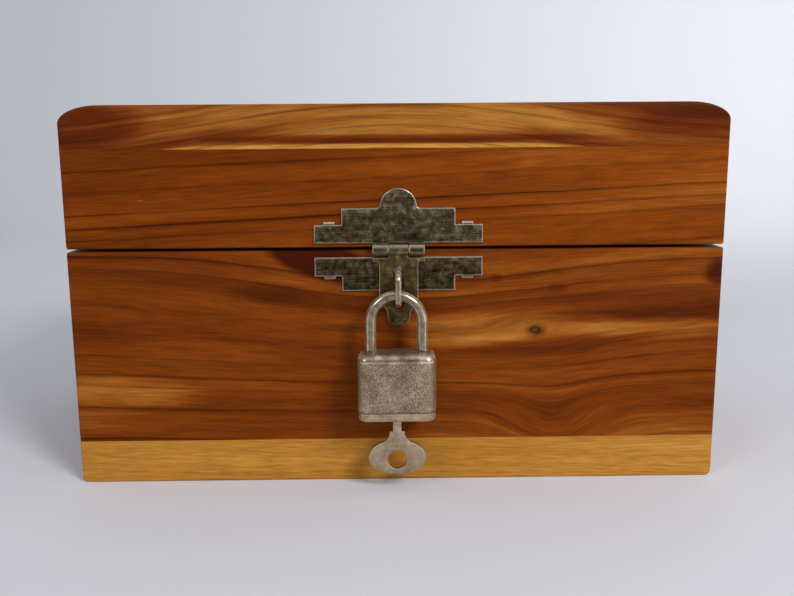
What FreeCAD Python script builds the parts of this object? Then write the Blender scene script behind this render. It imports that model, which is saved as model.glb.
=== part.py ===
"""Cedar money box with a hinged lid, a stepped sheet-metal hasp and a small padlock with its key.

Millimetres, +Z up, front towards -Y. The origin is the middle of the bottom board's underside.
The box is drawn closed and locked, which is the rest position of every joint.
"""
import FreeCAD, Part
import math
import os

V = FreeCAD.Vector
X_AXIS = V(1, 0, 0)
Y_AXIS = V(0, 1, 0)
Z_AXIS = V(0, 0, 1)

# Box and lid: cedar boards
box_width = 203.2
box_depth = 127.0
wall_thick = 13.5
bottom_thick = 13.8
top_thick = 13.3
base_height = 74.6
lid_height = 43.4
seam_gap = 0.9
rabbet_lip = 6.0
end_round_width = 12.5
end_round_height = 5.5
edge_ease = 0.7
foot_round = 2.0
coin_slot_length = 38.0
coin_slot_width = 5.0

# Butt hinges at the back
hinge_end_inset = 41.6
leaf_length = 25.0
leaf_width = 10.0
leaf_clear = 0.03
hinge_barrel = 3.2
hinge_pin = 1.5
middle_knuckle_share = 0.36
axis_inset = 0.35
relief_clear = 0.3
knuckle_gap = 0.2
running_fit = 0.04
screw_spread = 14.0
screw_from_axis = 6.0
screw_head = 4.0
screw_head_depth = 1.3
screw_shank = 2.0
screw_length = 9.0
screw_point = 1.8
screw_slot_width = 0.5
screw_slot_depth = 0.4
drive_fit = 0.05

# Hasp: stamped plates, flap and wire staple
hasp_x = 0.65
sheet = 0.9
stamp_round = 0.25
plate_width = 51.9
step_width = 35.0
upper_gap = 1.8
upper_outer_height = 5.65
upper_step_height = 5.05
dome_radius = 5.7
dome_lift = 0.35
dome_foot = 1.0
lower_gap = 2.55
lower_outer_height = 5.9
lower_step_height = 4.6
prong_width = 3.4
prong_inset = 4.7
prong_length = 7.0
prong_point = 2.0
hasp_barrel = 3.65
hasp_barrel_length = 15.9
hasp_pin_dia = 1.8
flap_knuckle = 6.1
barrel_clear = 0.3
flap_gap = 0.45
flap_ear_drop = 2.65
flap_ear_height = 1.15
flap_width = 12.0
flap_shoulder = 0.6
flap_straight = 17.05
flap_hollow = 4.0
tongue_radius = 3.5
flap_reach = 23.95
flap_slot_width = 3.45
slot_clear = 0.25
staple_wire = 1.92
staple_eye = 7.6
staple_drop = 6.3
staple_leg = 6.5
staple_x = 0.35

# Padlock: drawn case, bottom plate, shackle and lock works
padlock_x = -0.25
case_width = 23.7
case_depth = 11.2
case_height = 18.2
case_wall = 0.9
case_corner = 3.0
case_shoulder = 2.3
base_plate_thick = 2.8
base_plate_inset = 0.15
base_plate_round = 1.3
block_clear = 0.1
shackle_wire = 3.15
shackle_rise = 18.7
leg_inset = 4.05
leg_fit = 0.08
hang_clear = 0.1
shackle_lift = 4.1
toe_depth = 3.8
toe_play = 0.9
notch_depth = 0.85
notch_top_clear = 0.15
heel_land = 0.8
stop_pin_dia = 1.2
stop_pin_bite = 0.85
stop_pin_clear = 0.1
shackle_spring_wire = 0.4
shackle_spring_turns = 3
shackle_spring_room = 3.4
spring_clear = 0.15
spring_seat = 1.0
plug_dia = 7.6
plug_neck = 5.0
plug_height = 11.6
crank_radius = 2.83
crank_pin_dia = 1.2
crank_clear = 0.15
bolt_thick = 1.3
bolt_bite = 0.7
bolt_nose_width = 2.4
bolt_body_length = 3.6
bolt_body_width = 4.8
bolt_head_room = 0.25
bolt_clear = 0.1
bolt_spring_dia = 1.4
bolt_spring_wire = 0.3
bolt_spring_turns = 5

# Key: flat stamping
key_thick = 1.3
key_blade_width = 2.6
key_blade_length = 12.4
key_fit = 0.1
key_bow_width = 17.9
key_bow_height = 11.4
key_bow_drop = 18.35
key_hole = 5.9
key_hole_drop = 13.35
key_shoulder_width = 4.7
key_shoulder_drop = 4.3
key_shoulder_height = 0.8
key_flare = 5.5
flare_way_out = 0.3
flare_way_up = 0.42
key_turn_clear = 0.45

# Planes and centres that several pieces share
diagonal = math.sqrt(0.5)
tolerance = 1e-6
half_width = box_width / 2
front = -box_depth / 2
back = box_depth / 2
seam_mid = base_height + seam_gap / 2
lid_bottom = base_height + seam_gap
box_height = lid_bottom + lid_height
lid_wall_top = box_height - top_thick
hinge_x = half_width - hinge_end_inset
hinge_y = back - axis_inset
hasp_axis_y = front - hasp_barrel / 2 - barrel_clear
plate_face = front - sheet
upper_edge = seam_mid + upper_gap
upper_outer_top = upper_edge + upper_outer_height
upper_step_top = upper_outer_top + upper_step_height
lower_edge = seam_mid - lower_gap
lower_outer_bottom = lower_edge - lower_outer_height
flap_face = plate_face - flap_gap - sheet
padlock_y = front - key_bow_width / 2 - key_turn_clear
staple_top = seam_mid - staple_drop
staple_bottom = staple_top - staple_eye - staple_wire
staple_corner = (shackle_wire + staple_wire) / 2 + hang_clear
crown_z = staple_bottom + staple_corner
case_top = crown_z + shackle_wire / 2 - shackle_rise
case_bottom = case_top - case_height
padlock_bottom = case_bottom - base_plate_thick
leg_span = case_width / 2 - leg_inset
plug_bottom = case_bottom + running_fit
plug_top = plug_bottom + plug_height
bolt_top = case_top - case_wall - bolt_head_room
bolt_bottom = bolt_top - bolt_thick
crank_offset = crank_radius * diagonal
stop_pin_x = -leg_span + shackle_wire / 2 - stop_pin_bite + stop_pin_dia / 2
toe_tip = case_top - toe_depth
spring_floor = case_bottom + spring_seat
heel_tip = spring_floor + shackle_spring_room
stop_pin_z = heel_tip + heel_land + shackle_lift + stop_pin_dia / 2 + stop_pin_clear


def block(x0, x1, y0, y1, z0, z1):
    """Rectangular solid between two corners."""
    return Part.makeBox(x1 - x0, y1 - y0, z1 - z0, V(x0, y0, z0))


def rod(x, y, z, axis, diameter, length):
    """Round bar that starts at a point and runs along an axis."""
    return Part.makeCylinder(diameter / 2, length, V(x, y, z), axis)


def path_edges(start, steps):
    """Edges in the XZ plane: a step is the next point, or the way point and end point of an arc."""
    edges = []
    here = V(start[0], 0, start[1])
    for step in steps:
        points = step if isinstance(step[0], tuple) else (step,)
        points = [V(x, 0, z) for x, z in points]
        if len(points) == 2:
            edges.append(Part.Arc(here, *points).toShape())
        else:
            edges.append(Part.LineSegment(here, points[0]).toShape())
        here = points[-1]
    return edges


def arc_way(centre, radius, start, end):
    """Point of an arc halfway between its ends."""
    dx = (start[0] + end[0]) / 2 - centre[0]
    dz = (start[1] + end[1]) / 2 - centre[1]
    share = radius / math.hypot(dx, dz)
    return (centre[0] + dx * share, centre[1] + dz * share)


def symmetric_sheet(start, steps, x, y, thick):
    """Flat sheet whose right half is given, from the middle line round to the middle line."""
    right = path_edges(start, steps)
    left = [edge.mirror(V(0, 0, 0), X_AXIS) for edge in right]
    wire = Part.Wire(Part.__sortEdges__(right + left))
    solid = Part.Face(wire).extrude(V(0, thick, 0))
    solid.translate(V(x, y, 0))
    return solid


def stamped(sheet_metal, face_y):
    """Rounds the front edges of a flat stamping, apart from the ends that are rolled into knuckles."""
    rim = [e for e in sheet_metal.Edges if all(abs(v.Y - face_y) < tolerance for v in e.Vertexes)
           and abs(e.CenterOfMass.z - seam_mid) > tolerance]
    return sheet_metal.makeFillet(stamp_round, rim)


def slot_cutter(x, y, z0, z1, width, depth):
    """Upright slot with round ends, cut along Y."""
    radius = width / 2
    steps = [((radius * diagonal, z1 - radius * (1 - diagonal)), (radius, z1 - radius)),
             (radius, z0 + radius),
             ((radius * diagonal, z0 + radius * (1 - diagonal)), (0, z0))]
    return symmetric_sheet((0, z1), steps, x, y, depth)


def round_wire(edges, diameter):
    """Round wire along straight runs and arcs: bars for the runs, parts of rings for the bends."""
    pieces = []
    for edge in edges:
        along = edge.tangentAt(edge.FirstParameter)
        circle = Part.makeCircle(diameter / 2, edge.valueAt(edge.FirstParameter), along)
        section = Part.Face(Part.Wire([circle]))
        if isinstance(edge.Curve, Part.Circle):
            turn = math.degrees(edge.LastParameter - edge.FirstParameter)
            pieces.append(section.revolve(edge.Curve.Center, edge.Curve.Axis, turn))
        else:
            pieces.append(section.extrude(along * edge.Length))
    return pieces[0].fuse(pieces[1:]).removeSplitter()


def coil_spring(outside, wire, turns, length):
    """Open coil along Z from 0 to its length, as one tube on quarter-turn arcs."""
    radius = (outside - wire) / 2
    rise = length - wire
    quarters = 4 * turns

    def on_coil(quarter):
        angle = quarter * math.pi / 2
        return V(radius * math.cos(angle), radius * math.sin(angle), wire / 2 + rise * quarter / quarters)

    edges = [Part.Arc(on_coil(i), on_coil(i + 0.5), on_coil(i + 1)).toShape() for i in range(quarters)]
    along = V(0, radius * 2 * math.pi * turns, rise)
    section = Part.Wire([Part.makeCircle(wire / 2, on_coil(0), along)])
    print("coil gap", round(rise / turns - wire, 2))
    return Part.Wire(edges).makePipeShell([section], True, False)


def edges_at(shape, z):
    """Edges that lie wholly at one height."""
    return [e for e in shape.Edges if all(abs(v.Z - z) < tolerance for v in e.Vertexes)]


def upright_edges(shape):
    """Straight edges of a block that run along Z."""
    return [e for e in shape.Edges if e.tangentAt(e.FirstParameter).cross(Z_AXIS).Length < tolerance]


def rounded_block(width, depth, z0, z1, corner, soft_z, soft_radius):
    """Block centred on the padlock with round upright corners and one soft end."""
    x0 = padlock_x - width / 2
    y0 = padlock_y - depth / 2
    solid = block(x0, x0 + width, y0, y0 + depth, z0, z1)
    solid = solid.makeFillet(corner, upright_edges(solid))
    return solid.makeFillet(soft_radius, edges_at(solid, soft_z))


def eased(board, seam_z):
    """Sands a wall's outer corners and its outer edges at the seam."""
    soft = []
    for edge in board.Edges:
        middle = edge.CenterOfMass
        outside = [abs(abs(middle.x) - half_width) < tolerance, abs(abs(middle.y) - back) < tolerance]
        if all(outside) or any(outside) and abs(middle.z - seam_z) < tolerance:
            soft.append(edge)
    return board.makeFillet(edge_ease, soft)


def walls(z0, z1, seam_z):
    """Four walls: front and back run the full width and are rabbeted over the ends of the sides."""
    inner = half_width - wall_thick
    boards = {}
    for name, y_out, y_in in (("front", front, front + wall_thick), ("back", back, back - wall_thick)):
        lip = y_out + math.copysign(rabbet_lip, y_in - y_out)
        board = block(-half_width, half_width, min(y_out, y_in), max(y_out, y_in), z0, z1)
        for x0, x1 in ((-half_width, -inner), (inner, half_width)):
            board = board.cut(block(x0, x1, min(lip, y_in), max(lip, y_in), z0, z1))
        boards[name] = eased(board, seam_z)
    for name, x0, x1 in (("left", -half_width, -inner), ("right", inner, half_width)):
        boards[name] = eased(block(x0, x1, front + rabbet_lip, back - rabbet_lip, z0, z1), seam_z)
    return boards


def bottom_board():
    """Full-size board under the walls, its lower ends rounded and its front and back rims sanded."""
    board = block(-half_width, half_width, front, back, 0, bottom_thick)
    ends = [e for e in edges_at(board, 0) if abs(abs(e.CenterOfMass.x) - half_width) < tolerance]
    board = board.makeFillet(foot_round, ends)
    rim = [e for e in board.Edges if abs(abs(e.CenterOfMass.y) - back) < tolerance
           and e.CenterOfMass.z < bottom_thick - tolerance]
    return board.makeFillet(edge_ease, rim)


def top_board():
    """Lid board with a flat elliptical round-over at each end and a coin slot along its middle."""
    start_x = half_width - end_round_width
    start_z = box_height - end_round_height
    centre = V(start_x, 0, start_z)
    ellipse = Part.Ellipse(V(half_width, 0, start_z), V(start_x, 0, box_height), centre)
    round_over = Part.ArcOfEllipse(ellipse, 0, math.pi / 2).toShape()
    right = path_edges((0, lid_wall_top), [(half_width, lid_wall_top), (half_width, start_z)])
    right += [round_over] + path_edges((start_x, box_height), [(0, box_height)])
    left = [edge.mirror(V(0, 0, 0), X_AXIS) for edge in right]
    board = Part.Face(Part.Wire(Part.__sortEdges__(right + left))).extrude(V(0, box_depth, 0))
    board.translate(V(0, front, 0))
    board = board.removeSplitter()
    rim = [e for e in board.Edges if abs(abs(e.CenterOfMass.y) - back) < tolerance
           and e.CenterOfMass.z > lid_wall_top + tolerance]
    board = board.makeFillet(edge_ease, rim)
    run = coin_slot_length - coin_slot_width
    slot = block(-run / 2, run / 2, -coin_slot_width / 2, coin_slot_width / 2, lid_wall_top, box_height)
    for x in (-run / 2, run / 2):
        slot = slot.fuse(rod(x, 0, lid_wall_top, Z_AXIS, coin_slot_width, top_thick))
    return board.cut(slot.removeSplitter())


def screw(x, y, side, extra):
    """Countersunk screw at a leaf, driven up (side 1) or down (side -1); extra widens it into its hole."""
    head = screw_head / 2 + extra
    shank = screw_shank / 2 + extra
    profile = [(0, 0), (head, 0), (shank, screw_head_depth), (shank, screw_length - screw_point),
               (0, screw_length + extra), (0, 0)]
    points = [V(r, 0, side * depth) for r, depth in profile]
    solid = Part.Face(Part.makePolygon(points)).revolve(V(0, 0, 0), Z_AXIS, 360)
    if not extra:
        cut = screw_slot_width / 2
        solid = solid.cut(block(-head, head, -cut, cut, -screw_slot_depth, screw_slot_depth))
    solid.translate(V(x, y, seam_mid + side * leaf_clear))
    return solid


def screw_places():
    """Two screws in each leaf of the two hinges."""
    return [(hinge + step, hinge_y - screw_from_axis)
            for hinge in (-hinge_x, hinge_x)
            for step in (-screw_spread / 2, screw_spread / 2)]


def knuckles(centre_x, side):
    """Spans of the barrel that belong to one leaf: the middle one to the lid, the outer two to the base."""
    half = leaf_length / 2
    inner = leaf_length * middle_knuckle_share / 2
    if side > 0:
        return [(centre_x - inner + knuckle_gap / 2, centre_x + inner - knuckle_gap / 2)]
    return [(centre_x - half, centre_x - inner - knuckle_gap / 2),
            (centre_x + inner + knuckle_gap / 2, centre_x + half)]


def hinge_leaf(centre_x, side):
    """Leaf that lies on a board's edge in the seam, with its knuckles rolled on the hinge axis."""
    z0, z1 = sorted((seam_mid + side * seam_gap / 2, seam_mid + side * leaf_clear))
    barrel_edge = hinge_y - hinge_barrel / 2 - relief_clear
    x0 = centre_x - leaf_length / 2
    leaf = block(x0, x0 + leaf_length, hinge_y - leaf_width, barrel_edge, z0, z1)
    for k0, k1 in knuckles(centre_x, side):
        leaf = leaf.fuse(block(k0, k1, barrel_edge, hinge_y, z0, z1))
        leaf = leaf.fuse(rod(k0, hinge_y, seam_mid, X_AXIS, hinge_barrel, k1 - k0))
    leaf = leaf.cut(rod(x0, hinge_y, seam_mid, X_AXIS, hinge_pin + 2 * running_fit, leaf_length))
    for x, y in screw_places():
        leaf = leaf.cut(screw(x, y, side, drive_fit))
    return leaf.removeSplitter()


def hinge_relief():
    """Room for both hinge barrels in the back edges of base and lid."""
    size = hinge_barrel + 2 * relief_clear
    length = leaf_length + 2 * relief_clear
    starts = [x - length / 2 for x in (-hinge_x, hinge_x)]
    return Part.makeCompound([rod(x, hinge_y, seam_mid, X_AXIS, size, length) for x in starts])


def prong(x, edge_z, side, extra):
    """Tab bent back from a plate's edge and driven into the wood; extra widens it into its pocket."""
    point_y = prong_length + extra
    shape = [(-sheet, 0), (-sheet, side * sheet / 2), (-sheet / 2, side * sheet), (0, side * sheet)]
    if extra:
        shape = [(0, -side * extra), (0, side * (sheet + extra)), (point_y, side * (sheet + extra)),
                 (point_y, -side * extra)]
    else:
        shape += [(point_y - prong_point, side * sheet), (point_y, side * sheet / 2),
                  (point_y - prong_point, 0)]
    width = prong_width + 2 * extra
    points = [V(x - width / 2, front + y, edge_z + z) for y, z in shape]
    return Part.Face(Part.makePolygon(points + points[:1])).extrude(V(width, 0, 0))


def prong_places():
    """Middle of each prong along the plates."""
    reach = plate_width / 2 - prong_inset
    return (hasp_x - reach, hasp_x + reach)


def dome_steps():
    """Right half of the dome: its crown, then the small hollow that runs out onto the step."""
    middle = upper_step_top + dome_lift
    reach = dome_radius + dome_foot
    foot_x = math.sqrt(reach ** 2 - (dome_foot - dome_lift) ** 2)
    share = dome_radius / reach
    meet = (foot_x * share, middle + (dome_foot - dome_lift) * share)
    crown = (dome_radius * diagonal, middle + dome_radius * diagonal)
    way = (foot_x - dome_foot * diagonal, upper_step_top + dome_foot * (1 - diagonal))
    return (0, middle + dome_radius), [(crown, meet), (way, (foot_x, upper_step_top))]


def upper_plate():
    """Stepped plate with a dome, two rolled knuckles on its lower edge and two prongs in the lid."""
    start, steps = dome_steps()
    outer = hasp_barrel_length / 2
    inner = flap_knuckle / 2 + knuckle_gap / 2
    steps += [(step_width / 2, upper_step_top), (step_width / 2, upper_outer_top),
              (plate_width / 2, upper_outer_top), (plate_width / 2, upper_edge), (outer, upper_edge),
              (outer, seam_mid), (inner, seam_mid), (inner, upper_edge), (0, upper_edge)]
    plate = stamped(symmetric_sheet(start, steps, hasp_x, plate_face, sheet), plate_face)
    for x0 in (hasp_x - outer, hasp_x + inner):
        plate = plate.fuse(rod(x0, hasp_axis_y, seam_mid, X_AXIS, hasp_barrel, outer - inner))
    for x in prong_places():
        plate = plate.fuse(prong(x, upper_outer_top, 1, 0))
    return plate.cut(hasp_bore()).removeSplitter()


def hasp_bore():
    """Running hole for the hasp's pin."""
    return rod(hasp_x - plate_width / 2, hasp_axis_y, seam_mid, X_AXIS,
               hasp_pin_dia + 2 * running_fit, plate_width)


def lower_plate():
    """Stepped plate on the base with two prongs and the holes for the staple's legs."""
    bottom = lower_outer_bottom - lower_step_height
    steps = [(plate_width / 2, lower_edge), (plate_width / 2, lower_outer_bottom),
             (step_width / 2, lower_outer_bottom), (step_width / 2, bottom), (0, bottom)]
    plate = stamped(symmetric_sheet((0, lower_edge), steps, hasp_x, plate_face, sheet), plate_face)
    for x in prong_places():
        plate = plate.fuse(prong(x, lower_outer_bottom, -1, 0))
    return plate.cut(staple_holes()).removeSplitter()


def staple():
    """Wire loop with round corners that stands out of the lower plate, its legs driven into the board."""
    deep = front + staple_leg
    out = padlock_y - staple_corner
    turn = staple_corner * diagonal
    low, high = staple_bottom, staple_top
    points = [(deep, low), (padlock_y, low), (padlock_y - turn, low + staple_corner - turn),
              (out, low + staple_corner), (out, high - staple_corner),
              (padlock_y - turn, high - staple_corner + turn), (padlock_y, high), (deep, high)]
    p = [V(staple_x, y, z) for y, z in points]
    edges = [Part.LineSegment(p[0], p[1]).toShape(), Part.Arc(p[1], p[2], p[3]).toShape(),
             Part.LineSegment(p[3], p[4]).toShape(), Part.Arc(p[4], p[5], p[6]).toShape(),
             Part.LineSegment(p[6], p[7]).toShape()]
    return round_wire(edges, staple_wire)


def staple_holes():
    """Holes for both staple legs through the lower plate and into the front board."""
    size = staple_wire + 2 * drive_fit
    length = sheet + staple_leg + drive_fit
    return Part.makeCompound([rod(staple_x, plate_face, z, Y_AXIS, size, length)
                              for z in (staple_bottom, staple_top)])


def flap():
    """Hasp flap: rolled middle knuckle, ears under the barrel, slotted body and round tongue."""
    ear = hasp_barrel_length / 2
    side = flap_width / 2
    neck = (flap_knuckle - knuckle_gap) / 2
    ear_top = seam_mid - flap_ear_drop
    ear_low = ear_top - flap_ear_height
    tip = seam_mid - flap_reach
    straight = seam_mid - flap_straight
    tongue = tip + tongue_radius
    bend = flap_shoulder * (1 - diagonal)
    drop = straight - tongue
    span = math.hypot(side, drop)
    reach = tongue_radius + flap_hollow
    along = (reach ** 2 - flap_hollow ** 2 + span ** 2) / (2 * span)
    across = math.sqrt(reach ** 2 - along ** 2)
    hollow = ((along * side + across * drop) / span, tongue + (along * drop - across * side) / span)
    share = tongue_radius / reach
    meet = (hollow[0] * share, tongue + (hollow[1] - tongue) * share)
    steps = [(neck, seam_mid), (neck, ear_top), (ear, ear_top), (ear, ear_low),
             (side + flap_shoulder, ear_low),
             ((side + bend, ear_low - bend), (side, ear_low - flap_shoulder)), (side, straight),
             (arc_way(hollow, flap_hollow, (side, straight), meet), meet),
             (arc_way((0, tongue), tongue_radius, meet, (0, tip)), (0, tip))]
    solid = stamped(symmetric_sheet((0, seam_mid), steps, hasp_x, flap_face, sheet), flap_face)
    solid = solid.fuse(rod(hasp_x - neck, hasp_axis_y, seam_mid, X_AXIS, hasp_barrel, 2 * neck))
    swing = math.hypot(padlock_y - hasp_axis_y, crown_z - seam_mid) + staple_corner + staple_wire / 2
    slot_top = staple_top + staple_wire / 2 + slot_clear
    slot = slot_cutter(hasp_x, flap_face, seam_mid - swing - slot_clear, slot_top, flap_slot_width, sheet)
    return solid.cut(slot).cut(hasp_bore()).removeSplitter()


def case():
    """Drawn shell, open below, with soft shoulders and a hole for each leg of the shackle."""
    shell = rounded_block(case_width, case_depth, case_bottom, case_top, case_corner, case_top, case_shoulder)
    shell = shell.cut(case_core(case_wall))
    return shell.cut(leg_holes(case_top - case_shoulder))


def case_core(inset):
    """The form inside the shell, held in from its outside by an even amount."""
    top = case_top - inset
    return rounded_block(case_width - 2 * inset, case_depth - 2 * inset, case_bottom, top,
                         case_corner - inset, top, case_shoulder - inset)


def leg_holes(depth_z):
    """Guide holes for heel and toe, from the case's top down to a height."""
    size = shackle_wire + 2 * leg_fit
    return Part.makeCompound([rod(padlock_x + x, padlock_y, depth_z, Z_AXIS, size, case_top - depth_z)
                              for x in (-leg_span, leg_span)])


def lock_block():
    """Solid core of the padlock with bores for shackle, plug and stop pin and a pocket for the bolt."""
    core = case_core(case_wall + block_clear)
    toe_floor = toe_tip - spring_clear
    size = shackle_wire + 2 * leg_fit
    core = core.cut(rod(padlock_x - leg_span, padlock_y, spring_floor, Z_AXIS, size, case_top - spring_floor))
    core = core.cut(rod(padlock_x + leg_span, padlock_y, toe_floor, Z_AXIS, size, case_top - toe_floor))
    bore = rod(padlock_x, padlock_y, case_bottom, Z_AXIS, plug_dia + 2 * running_fit,
               plug_top + running_fit - case_bottom)
    crank_room = 2 * crank_radius + crank_pin_dia + 2 * crank_clear
    sweep = rod(padlock_x, padlock_y, case_bottom, Z_AXIS, crank_room, case_top - case_bottom)
    core = core.cut(bore).cut(sweep)
    return core.cut(bolt_pocket()).cut(stop_pin(2 * running_fit))


def bolt_span():
    """Ends of the bolt at rest along X: back of its body, front of its body and tip of its nose."""
    tip = leg_span - shackle_wire / 2 + bolt_bite
    middle = crank_offset
    return middle - bolt_body_length / 2, middle + bolt_body_length / 2, tip


def pocket_end():
    """Closed end of the bolt's pocket, beside the heel's bore."""
    return -leg_span + shackle_wire / 2 + leg_fit + case_wall


def bolt_pocket():
    """Room for the bolt, its full travel and the spring behind it."""
    rear, body_end, tip = bolt_span()
    low = bolt_bottom - bolt_clear
    half_nose = bolt_nose_width / 2 + bolt_clear
    wide = block(padlock_x + rear - 2 * crank_offset - bolt_clear, padlock_x + body_end + bolt_clear,
                 padlock_y - half_nose, padlock_y - half_nose + bolt_body_width + 2 * bolt_clear,
                 low, case_top)
    narrow = block(padlock_x + pocket_end(), padlock_x + tip, padlock_y - half_nose, padlock_y + half_nose,
                   low, case_top)
    return wide.fuse(narrow)


def locking_bolt():
    """Flat bolt: a nose in the toe's notch and a wide body with an open slot for the crank pin."""
    rear, body_end, tip = bolt_span()
    y0 = padlock_y - bolt_nose_width / 2
    body = block(padlock_x + rear, padlock_x + body_end, y0, y0 + bolt_body_width, bolt_bottom, bolt_top)
    nose = block(padlock_x + rear, padlock_x + tip, y0, y0 + bolt_nose_width, bolt_bottom, bolt_top)
    half_slot = crank_pin_dia / 2 + crank_clear
    slot = block(padlock_x + crank_offset - half_slot, padlock_x + crank_offset + half_slot,
                 padlock_y + crank_offset - half_slot, y0 + bolt_body_width, bolt_bottom, bolt_top)
    return body.fuse(nose).removeSplitter().cut(slot)


def bolt_spring():
    """Coil behind the bolt that keeps its nose in the notch."""
    length = bolt_span()[0] - pocket_end() - 2 * bolt_clear
    coil = coil_spring(bolt_spring_dia, bolt_spring_wire, bolt_spring_turns, length)
    coil.rotate(V(0, 0, 0), Y_AXIS, 90)
    coil.translate(V(padlock_x + pocket_end() + bolt_clear, padlock_y, (bolt_bottom + bolt_top) / 2))
    return coil


def shackle_spring():
    """Coil under the heel that lifts the shackle when the bolt lets go."""
    length = heel_tip - spring_floor - spring_clear
    coil = coil_spring(shackle_wire - spring_clear, shackle_spring_wire, shackle_spring_turns, length)
    coil.translate(V(padlock_x - leg_span, padlock_y, spring_floor + spring_clear / 2))
    return coil


def stop_pin(extra):
    """Cross pin that stands in the heel's long flat and keeps the shackle in the case."""
    depth = case_depth - 2 * case_wall - 2 * block_clear
    return rod(padlock_x + stop_pin_x, padlock_y - depth / 2, stop_pin_z, Y_AXIS, stop_pin_dia + extra, depth)


def shackle():
    """Bent rod with a long heel and a short toe; the toe has the bolt's notch, the heel the pin's flat."""
    bend_z = crown_z - leg_span
    x0, x1 = padlock_x - leg_span, padlock_x + leg_span
    p = [V(x, padlock_y, z) for x, z in ((x0, heel_tip), (x0, bend_z), (padlock_x, crown_z), (x1, bend_z),
                                         (x1, toe_tip))]
    edges = [Part.LineSegment(p[0], p[1]).toShape(), Part.Arc(p[1], p[2], p[3]).toShape(),
             Part.LineSegment(p[3], p[4]).toShape()]
    rod_solid = round_wire(edges, shackle_wire)
    wide = shackle_wire
    inner = x1 - shackle_wire / 2
    notch = block(inner - wide, inner + notch_depth, padlock_y - wide, padlock_y + wide,
                  bolt_bottom - toe_play, bolt_top + notch_top_clear)
    face = padlock_x + stop_pin_x - stop_pin_dia / 2 - stop_pin_clear
    flat = block(face, face + wide, padlock_y - wide, padlock_y + wide,
                 heel_tip + heel_land, stop_pin_z + stop_pin_dia / 2 + stop_pin_clear)
    return rod_solid.cut(notch).cut(flat)


def padlock_bottom_plate():
    """Thick plate that closes the case, with the hole for the plug's neck."""
    plate = rounded_block(case_width - 2 * base_plate_inset, case_depth - 2 * base_plate_inset,
                          padlock_bottom, case_bottom, case_corner - base_plate_inset,
                          padlock_bottom, base_plate_round)
    hole = rod(padlock_x, padlock_y, padlock_bottom, Z_AXIS, plug_neck + 2 * running_fit, base_plate_thick)
    return plate.cut(hole)


def keyway_plug():
    """Plug that the key turns: neck in the bottom plate, body in the block and a crank pin for the bolt."""
    plug = rod(padlock_x, padlock_y, padlock_bottom, Z_AXIS, plug_neck, plug_bottom - padlock_bottom)
    plug = plug.fuse(rod(padlock_x, padlock_y, plug_bottom, Z_AXIS, plug_dia, plug_height))
    pin = rod(padlock_x + crank_offset, padlock_y + crank_offset, plug_top, Z_AXIS, crank_pin_dia,
              bolt_top - plug_top)
    half_w = key_blade_width / 2 + key_fit
    half_t = key_thick / 2 + key_fit
    keyway = block(padlock_x - half_w, padlock_x + half_w, padlock_y - half_t, padlock_y + half_t,
                   padlock_bottom, padlock_bottom + key_blade_length + key_fit)
    return plug.fuse(pin).cut(keyway).removeSplitter()


def key():
    """Flat key: blade and neck, small shoulders, hollow flares and an oval bow with a ring hole."""
    blade = key_blade_width / 2
    tip = padlock_bottom + key_blade_length
    shoulder = key_shoulder_width / 2
    shoulder_top = padlock_bottom - key_shoulder_drop
    shoulder_low = shoulder_top - key_shoulder_height
    middle = padlock_bottom - key_bow_drop + key_bow_height / 2
    flare_z = middle + key_bow_height / 2 * math.sqrt(1 - (2 * key_flare / key_bow_width) ** 2)
    way = (shoulder + (key_flare - shoulder) * flare_way_out,
           flare_z + (shoulder_low - flare_z) * flare_way_up)
    steps = [(blade, tip), (blade, shoulder_top), (shoulder, shoulder_top), (shoulder, shoulder_low),
             (way, (key_flare, flare_z)), (key_flare, middle), (0, middle)]
    y = padlock_y - key_thick / 2
    stem = symmetric_sheet((0, tip), steps, padlock_x, y, key_thick)
    oval = Part.Ellipse(V(padlock_x + key_bow_width / 2, y, middle),
                        V(padlock_x, y, middle + key_bow_height / 2), V(padlock_x, y, middle))
    bow = Part.Face(Part.Wire([oval.toShape()])).extrude(V(0, key_thick, 0))
    hole = rod(padlock_x, y, padlock_bottom - key_hole_drop, Y_AXIS, key_hole, key_thick)
    return bow.fuse(stem).cut(hole).removeSplitter()


def front_pockets(edge_z, side):
    """Pockets in a front board for one plate's prongs."""
    return Part.makeCompound([prong(x, edge_z, side, drive_fit) for x in prong_places()])


def screw_holes(side):
    """Screw holes in a back board's edge."""
    return Part.makeCompound([screw(x, y, side, drive_fit) for x, y in screw_places()])


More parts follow.
